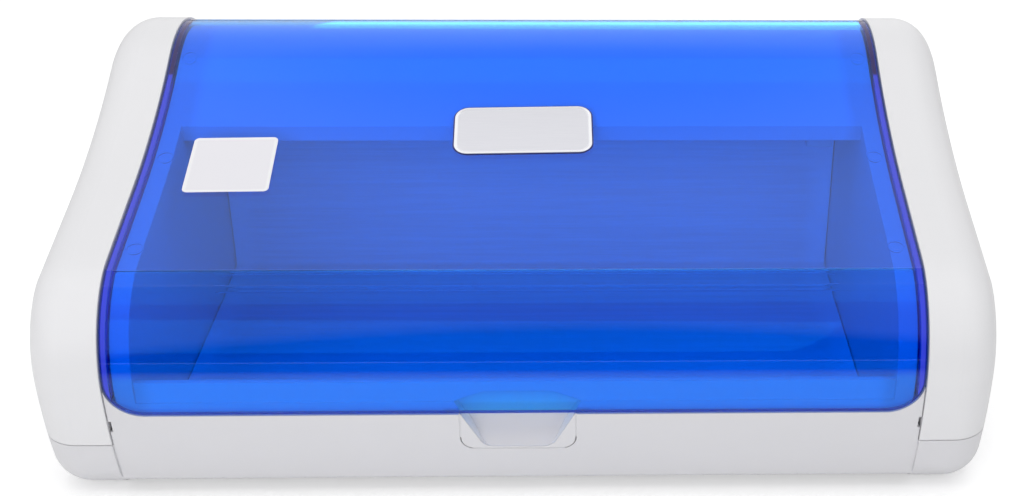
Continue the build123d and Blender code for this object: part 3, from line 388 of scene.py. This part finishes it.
# partly painted shade: the arms are darker, as shade of the slots
ARM_SHADE_BLUE = (0.035, 0.02, 0.16, 1)
EDGE_BLUE = (0.006, 0.02, 0.30, 1)
DOOR_HALF, DOOR_LOW, DOOR_CORNER = 0.1792, 0.0485, 0.016
ARM_FRONT, FLANGE_FROM, RIM_FROM = 0.031, (0.0029, 0.0025), (0.0008, 0.0005)
NOSE_BLEND, BAND_BLEND = (0.092, 0.108), (0.065, 0.069)
FLANGE_CLEAR = 0.35
MARK_PLACES = (-0.086, -0.022, 0.043)
MARK_X, MARK_RADIUS, MARK_WIDTH, MARK_DEPTH = 0.170, 0.0036, 0.0005, 0.00008
CREASES = (-0.10159, -0.10847)


def apart(nt, first, second):
    """Length of the diagonal over two outputs: square root of the sum of their squares."""
    squares = [sum_up(nt, "POWER", one, 2.0) for one in (first, second)]
    return sum_up(nt, "SQRT", sum_up(nt, "ADD", *squares), 0)


blue_clear, nt, shader = finish_of("clear_blue_moulding", DOOR_BLUE, 0.02)
shader.inputs["Transmission Weight"].default_value = 1.0
shader.inputs["IOR"].default_value = 1.49
across, back, rise = split_place(nt)
# distance from the centres of the door's rounded corners, which is DOOR_CORNER at its outline
aside = sum_up(nt, "ABSOLUTE", across, 0)
beside = sum_up(nt, "MAXIMUM", sum_up(nt, "SUBTRACT", aside, DOOR_HALF - DOOR_CORNER), 0.0)
below = sum_up(nt, "MAXIMUM", sum_up(nt, "SUBTRACT", DOOR_LOW + DOOR_CORNER, rise), 0.0)
far = apart(nt, beside, below)
flange = ramp_up(nt, beside, *(DOOR_CORNER - one for one in FLANGE_FROM))
arm = sum_up(nt, "MULTIPLY", flange, ramp_up(nt, back, ARM_FRONT - 0.001, ARM_FRONT + 0.001))
rim = ramp_up(nt, far, *(DOOR_CORNER - one for one in RIM_FROM))
# The blue is deeper over the nose, and painted lighter over the lower band, as light on the white band
# behind it.
tone = two_tones(nt, ramp_down(nt, rise, *NOSE_BLEND), DOOR_BLUE, NOSE_BLUE)
tone = blend_tones(nt, ramp_down(nt, rise, *BAND_BLEND), tone, BAND_LIT_BLUE)
tone = blend_tones(nt, flange, tone, FLANGE_BLUE)
tone = blend_tones(nt, arm, tone, ARM_SHADE_BLUE)
tone = blend_tones(nt, rim, tone, EDGE_BLUE)
nt.links.new(tone, shader.inputs["Base Color"])
nt.links.new(between(nt, flange, 1.0, FLANGE_CLEAR), shader.inputs["Transmission Weight"])
wave = speckle(nt, place_on(nt, scale=(1, 0.6, 0.6)), 0.03, 0.0)
raise_grain(nt, shader, wave, 0.0002, 0.12)
marks = None
for mark_y in MARK_PLACES:
    middle_off = apart(nt, sum_up(nt, "SUBTRACT", back, mark_y), sum_up(nt, "SUBTRACT", aside, MARK_X))
    off_ring = sum_up(nt, "ABSOLUTE", sum_up(nt, "SUBTRACT", middle_off, MARK_RADIUS), 0)
    ring = ramp_down(nt, off_ring, 0.0, MARK_WIDTH)
    marks = ring if marks is None else sum_up(nt, "MAXIMUM", marks, ring)
for crease_y in CREASES:
    away = sum_up(nt, "ABSOLUTE", sum_up(nt, "SUBTRACT", back, crease_y), 0)
    fold = ramp_down(nt, away, 0.0, MARK_WIDTH)
    marks = sum_up(nt, "MAXIMUM", marks, fold)
ringed = nt.nodes.new("ShaderNodeBump")
ringed.inputs["Distance"].default_value = MARK_DEPTH
nt.links.new(marks, ringed.inputs["Height"])
nt.links.new(shader.inputs["Normal"].links[0].from_socket, ringed.inputs["Normal"])
nt.links.new(ringed.outputs["Normal"], shader.inputs["Normal"])
lamp_way = nt.nodes.new("ShaderNodeBsdfTransparent")
lamp_way.inputs["Color"].default_value = (sqrt(DOOR_BLUE[0]), sqrt(DOOR_BLUE[1]), 1.0, 1)
path = nt.nodes.new("ShaderNodeLightPath")
swap = nt.nodes.new("ShaderNodeMixShader")
nt.links.new(path.outputs["Is Shadow Ray"], swap.inputs["Fac"])
nt.links.new(shader.outputs["BSDF"], swap.inputs[1])
nt.links.new(lamp_way.outputs["BSDF"], swap.inputs[2])
nt.links.new(swap.outputs["Shader"], nt.nodes["Material Output"].inputs["Surface"])
dress("door_panel", blue_clear)

# ---------------------------------------------------------------- name plate and label
# A bare bright plate with a rolled rim and a bare white film, both stuck on the hollow of the
# door, which is an arc of one radius from front to back.

HOLLOW_RADIUS, HOLLOW_SETBACK = 0.372, 0.083415
HOLLOW_START = (NOSE_Y + HOLLOW_SETBACK, 0.118306, radians(12.8))
PLATE = dict(x=0.0, setback=0.124, width=0.067, height=0.033, corner=0.007, askew=radians(1.2))
LABEL = dict(x=-0.1377, setback=0.1005, width=0.040, height=0.0395, corner=0.0025, askew=radians(1.0))
GLUE = 5e-05


def on_hollow(x, along, lift):
    """Points at x, at an arc length along the hollow from its start, raised by lift from its skin:
    turned by start slope + along / radius round the arc's centre."""
    y0, z0, slope0 = HOLLOW_START
    slope = slope0 + along / HOLLOW_RADIUS
    y = y0 + HOLLOW_RADIUS * (np.sin(slope) - sin(slope0)) - lift * np.sin(slope)
    z = z0 + HOLLOW_RADIUS * (cos(slope0) - np.cos(slope)) + lift * np.cos(slope)
    return np.stack((x + 0 * y, y, z), axis=-1)


def stuck_plate(name, where, rim, round_steps=14, inner=10):
    """Rounded rectangle in nested rings. Ring k lies inset by rim[k][0] from the outline and lifted
    by rim[k][1] from the skin; inside the last ring the field shrinks in steps to its middle."""
    half_w, half_h, corner = where["width"] / 2, where["height"] / 2, where["corner"]
    angle = np.linspace(0, pi / 2, round_steps)
    turns = np.concatenate([angle + k * pi / 2 for k in range(4)])
    side_x = np.repeat([1, -1, -1, 1], round_steps)
    side_y = np.repeat([1, 1, -1, -1], round_steps)
    insets = np.array([one[0] for one in rim])[:, None]
    lifts = np.array([one[1] for one in rim])[:, None]
    radius = np.maximum(corner - insets, 0.0002)
    u = side_x * (half_w - insets - radius) + radius * np.cos(turns)
    v = side_y * (half_h - insets - radius) + radius * np.sin(turns)
    shrink = np.linspace(0.9, 0.02, inner)[:, None]
    u = np.concatenate((u, u[-1] * shrink))
    v = np.concatenate((v, v[-1] * shrink))
    askew = where["askew"]
    u, v = u * cos(askew) - v * sin(askew), u * sin(askew) + v * cos(askew)
    lifts = np.concatenate((lifts, np.full((inner, 1), rim[-1][1])))
    depth = np.concatenate((insets, np.full((inner, 1), half_h)))
    start = HOLLOW_START[2]
    slope = np.arcsin(sin(start) + (where["setback"] - HOLLOW_SETBACK) / HOLLOW_RADIUS)
    middle = (slope - start) * HOLLOW_RADIUS
    points = on_hollow(where["x"] + u, middle + v, lifts + 0 * u)
    rings, count = u.shape
    flat = points.reshape(-1, 3)
    hub = on_hollow(np.array([where["x"]]), np.array([middle]), np.array([rim[-1][1]]))
    k, j = np.meshgrid(np.arange(rings - 1), np.arange(count), indexing="ij")
    nxt = (j + 1) % count
    below, above = k * count, (k + 1) * count
    quads = np.stack((below + j, below + nxt, above + nxt, above + j), axis=-1)
    last = (rings - 1) * count
    ring = np.arange(count)
    fan = np.stack((last + ring, last + (ring + 1) % count, np.full(count, rings * count)), axis=-1)
    mesh = bpy.data.meshes.new(name)
    faces = quads.reshape(-1, 4).tolist() + fan.tolist()
    mesh.from_pydata(np.concatenate((flat, hub)).tolist(), [], faces)
    mesh.polygons.foreach_set("use_smooth", np.ones(len(faces), dtype=bool))
    inward = mesh.attributes.new("from_edge", "FLOAT", "POINT")
    value = np.broadcast_to(depth, (rings, count)).reshape(-1)
    inward.data.foreach_set("value", np.append(value, half_h).astype(np.float32))
    made = bpy.data.objects.new(name, mesh)
    bpy.context.scene.collection.objects.link(made)
    return made


def from_edge(nt):
    """Distance from the piece's outline, as an output."""
    read = nt.nodes.new("ShaderNodeAttribute")
    read.attribute_name = "from_edge"
    return read.outputs["Fac"]


PLATE_RIM = [
    (0.0, GLUE - 0.00005), (0.0, GLUE + 0.00030), (0.0001, GLUE + 0.00045),
    (0.0003, GLUE + 0.00057), (0.0006, GLUE + 0.0006), (0.0009, GLUE + 0.00056),
    (0.0012, GLUE + 0.00044), (0.0015, GLUE + 0.00036), (0.0019, GLUE + 0.00034),
    (0.0030, GLUE + 0.00034), (0.0050, GLUE + 0.00034),
]
plate = stuck_plate("bright_plate", PLATE, PLATE_RIM)
plate_metal, nt, shader = finish_of("bright_plate_metal", (0.75, 0.75, 0.79, 1), 0.3, 0.55)
inward = from_edge(nt)
field = ramp_up(nt, inward, 0.0012, 0.0019)
grain = speckle(nt, place_on(nt, scale=(0.03, 1, 1)), 0.0004, 3.0)
satin = two_tones(nt, grain, (0.69, 0.69, 0.74, 1), (0.76, 0.76, 0.80, 1))
# painted shadow: a dark line round the plate's very edge, then the bright polished rim
outline = ramp_up(nt, inward, 0.00002, 0.00012)
shadow_and_rim_tone = two_tones(nt, outline, (0.10, 0.13, 0.30, 1), (0.90, 0.90, 0.93, 1))
pick = nt.nodes.new("ShaderNodeMix")
pick.data_type = "RGBA"
nt.links.new(field, pick.inputs["Factor"])
nt.links.new(shadow_and_rim_tone, pick.inputs["A"])
nt.links.new(satin, pick.inputs["B"])
nt.links.new(pick.outputs["Result"], shader.inputs["Base Color"])
nt.links.new(between(nt, field, 0.12, 0.36), shader.inputs["Roughness"])
raise_grain(nt, shader, grain, 0.00001, 0.25)
plate.data.materials.append(plate_metal)
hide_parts("name_plate")
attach(plate, "door")

# Painted shadow: a dark navy sheet a little larger than the plate, under it, shows as the plate's shadow
# round its edge.
PLATE_SHADOW = dict(PLATE, width=0.0682, height=0.0343, corner=0.0076)
PLATE_SHADOW_RIM = [(0.0, 0.00001), (0.0001, 0.00004), (0.0004, 0.00005), (0.0008, 0.00005)]
plate_shadow = stuck_plate("plate_shadow_sheet", PLATE_SHADOW, PLATE_SHADOW_RIM)
shadow_film, nt, shader = finish_of("painted_shadow_film", (0.01, 0.02, 0.16, 1), 0.3)
nt.links.new(between(nt, speckle(nt, place_on(nt), 0.002), 0.24, 0.4), shader.inputs["Roughness"])
raise_grain(nt, shader, speckle(nt, place_on(nt), 0.001), 0.00002, 0.3)
plate_shadow.data.materials.append(shadow_film)
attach(plate_shadow, "door")

LABEL_RIM = [
    (0.0, GLUE - 0.00005), (0.0, GLUE + 0.00015), (0.00006, GLUE + 0.0002),
    (0.0004, GLUE + 0.0002), (0.0012, GLUE + 0.0002), (0.0024, GLUE + 0.0002),
]
film = stuck_plate("label_film", LABEL, LABEL_RIM)
label_white, nt, shader = finish_of("label_white", (0.80, 0.79, 0.82, 1), 0.42)
inward = from_edge(nt)
margin = ramp_up(nt, inward, 0.0008, 0.0022)
paper = two_tones(nt, margin, (0.86, 0.86, 0.88, 1), (0.79, 0.78, 0.82, 1))
nt.links.new(paper, shader.inputs["Base Color"])
nt.links.new(between(nt, speckle(nt, place_on(nt), 0.01), 0.36, 0.48), shader.inputs["Roughness"])
raise_grain(nt, shader, speckle(nt, place_on(nt), 0.0015, 2.0), 0.00003, 0.3)
film.data.materials.append(label_white)
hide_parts("door_label")
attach(film, "door")

# ---------------------------------------------------------------- studio
# Pale floor and white backdrop under three large soft lamps. The gloss shows a white ceiling
# that fades towards the front, and a dark cloth in front of the box.

CEILING = (
    (0.0, 0.0), (0.165, 0.0), (0.235, 0.42), (0.46, 0.56), (0.545, 0.54),
    (0.62, 0.68), (0.68, 0.9), (0.72, 1.0), (1.0, 0.9),
)
CEILING_LEVEL, SIDE_FALL, SKY_LEVEL = 1.12, 1.7, 0.48
FLOOR_GLOW, GLOSS_SHARE = (0.3, 0.62), 0.3
CLOTH_FADE = (-0.52, -0.28)

world = bpy.data.worlds.new("studio")
bpy.context.scene.world = world
world.use_nodes = True
nt = world.node_tree
ground = nt.nodes["Background"]
ground.inputs["Color"].default_value = (1, 1, 1, 1)

# turn from the front horizon over the zenith to the back one, 0 to 1, plus a fall to the sides
way = nt.nodes.new("ShaderNodeTexCoord")
parts = nt.nodes.new("ShaderNodeSeparateXYZ")
nt.links.new(way.outputs["Generated"], parts.inputs[0])
across, back, rise = parts.outputs
turn = sum_up(nt, "DIVIDE", sum_up(nt, "ARCTAN2", rise, sum_up(nt, "MULTIPLY", back, -1.0)), pi)
side = sum_up(nt, "MULTIPLY", sum_up(nt, "MULTIPLY", across, across), SIDE_FALL)
ceiling = nt.nodes.new("ShaderNodeValToRGB")
nt.links.new(sum_up(nt, "ADD", turn, side), ceiling.inputs["Fac"])
for stop, value in CEILING:
    if stop in (0.0, 1.0):
        mark = ceiling.color_ramp.elements[0 if stop == 0.0 else -1]
    else:
        mark = ceiling.color_ramp.elements.new(stop)
    mark.color = (value, value, value, 1)
gloss_level = sum_up(nt, "MULTIPLY", ceiling.outputs["Color"], CEILING_LEVEL)

seen = nt.nodes.new("ShaderNodeLightPath")
plain = sum_up(nt, "MAXIMUM", seen.outputs["Is Camera Ray"], seen.outputs["Is Transmission Ray"])
level = between(nt, plain, SKY_LEVEL, 1.0)
chosen = nt.nodes.new("ShaderNodeMix")
nt.links.new(seen.outputs["Is Glossy Ray"], chosen.inputs["Factor"])
nt.links.new(level, chosen.inputs["A"])
nt.links.new(gloss_level, chosen.inputs["B"])
nt.links.new(chosen.outputs["Result"], ground.inputs["Strength"])


def flat_sheet(name, corners):
    """Single four-sided face through the given corners."""
    mesh = bpy.data.meshes.new(name)
    mesh.from_pydata(corners, [], [(0, 1, 2, 3)])
    made = bpy.data.objects.new(name, mesh)
    bpy.context.scene.collection.objects.link(made)
    return made


floor = flat_sheet("floor", [(-4, -4, 0), (4, -4, 0), (4, 4, 0), (-4, 4, 0)])
floor_paint, nt, shader = finish_of("pale_floor", (0.9, 0.9, 0.9, 1), 0.9)
shader.inputs["Specular IOR Level"].default_value = 0.0
glow = nt.nodes.new("ShaderNodeEmission")
glow.inputs["Color"].default_value = (1, 1, 1, 1)
seen = nt.nodes.new("ShaderNodeLightPath")
shown = sum_up(nt, "MULTIPLY", seen.outputs["Is Glossy Ray"], GLOSS_SHARE)
shown = sum_up(nt, "MAXIMUM", shown, seen.outputs["Is Camera Ray"])
shown = sum_up(nt, "MAXIMUM", shown, seen.outputs["Is Transmission Ray"])
# far from the box, where the lamps fall off, the floor glows more, so that it stays white
across, back, rise = split_place(nt)
lift = between(nt, ramp_up(nt, apart(nt, across, back), 0.5, 2.6), *FLOOR_GLOW)
nt.links.new(sum_up(nt, "MULTIPLY", shown, lift), glow.inputs["Strength"])
both = nt.nodes.new("ShaderNodeAddShader")
nt.links.new(shader.outputs["BSDF"], both.inputs[0])
nt.links.new(glow.outputs["Emission"], both.inputs[1])
nt.links.new(both.outputs["Shader"], nt.nodes["Material Output"].inputs["Surface"])
floor.data.materials.append(floor_paint)

cloth_corners = [(-1.6, -2.2, 0.001), (1.6, -2.2, 0.001), (1.6, -0.27, 0.001), (-1.6, -0.27, 0.001)]
cloth = flat_sheet("dark_cloth", cloth_corners)
velvet, nt, shader = finish_of("dark_velvet", (0.004, 0.004, 0.004, 1), 0.9)
shader.inputs["Specular IOR Level"].default_value = 0.0
clear = nt.nodes.new("ShaderNodeBsdfTransparent")
edge = nt.nodes.new("ShaderNodeMixShader")
nt.links.new(ramp_up(nt, split_place(nt)["Y"], *CLOTH_FADE), edge.inputs["Fac"])
nt.links.new(shader.outputs["BSDF"], edge.inputs[1])
nt.links.new(clear.outputs["BSDF"], edge.inputs[2])
nt.links.new(edge.outputs["Shader"], nt.nodes["Material Output"].inputs["Surface"])
cloth.data.materials.append(velvet)
cloth.visible_camera = False
cloth.visible_diffuse = False
cloth.visible_transmission = False
cloth.visible_shadow = False


def soft_lamp(name, place, target, size, watts):
    """Rectangular area lamp at place, facing target."""
    data = bpy.data.lights.new(name, "AREA")
    data.shape = "RECTANGLE"
    data.size, data.size_y = size
    data.energy = watts
    lamp = bpy.data.objects.new(name, data)
    bpy.context.scene.collection.objects.link(lamp)
    lamp.location = place
    lamp.rotation_euler = (Vector(target) - Vector(place)).to_track_quat("-Z", "Y").to_euler()
    lamp.visible_glossy = False


soft_lamp("overhead", (0.0, -0.15, 1.3), (0, 0, 0), (1.6, 1.2), 7.6)
soft_lamp("front_fill", (-0.3, -1.4, 0.7), (0, 0, 0.05), (1.4, 0.9), 7.4)
soft_lamp("back_fill", (0.3, 1.5, 0.45), (0, 0, 0.06), (1.4, 0.7), 6.0)

# ---------------------------------------------------------------- camera
# Set where the photograph was taken from: above the front, looking down at 28 degrees, with
# the picture shifted sideways because the box stands to one side of the lens's middle.

LENS_PIXELS = 1500.0
PITCH, YAW, ROLL = radians(27.977), radians(-1.742), radians(0.653)
level_right = Vector((cos(YAW), sin(YAW), 0))
forward = Vector((-sin(YAW) * cos(PITCH), cos(YAW) * cos(PITCH), -sin(PITCH)))
level_up = level_right.cross(forward)
right = level_right * cos(ROLL) + level_up * sin(ROLL)
up = -level_right * sin(ROLL) + level_up * cos(ROLL)
camera_data = bpy.data.cameras.new("camera")
camera_data.sensor_width = 36.0
camera_data.lens = LENS_PIXELS * 36.0 / 1024.0
camera_data.shift_x = -112.3 / 1024.0
camera = bpy.data.objects.new("camera", camera_data)
bpy.context.scene.collection.objects.link(camera)
turned = Matrix((right, up, -forward)).transposed().to_4x4()
camera.matrix_world = Matrix.Translation((0.02950, -0.67997, 0.42355)) @ turned
bpy.context.scene.camera = camera
bpy.context.scene.view_settings.view_transform = "Standard"
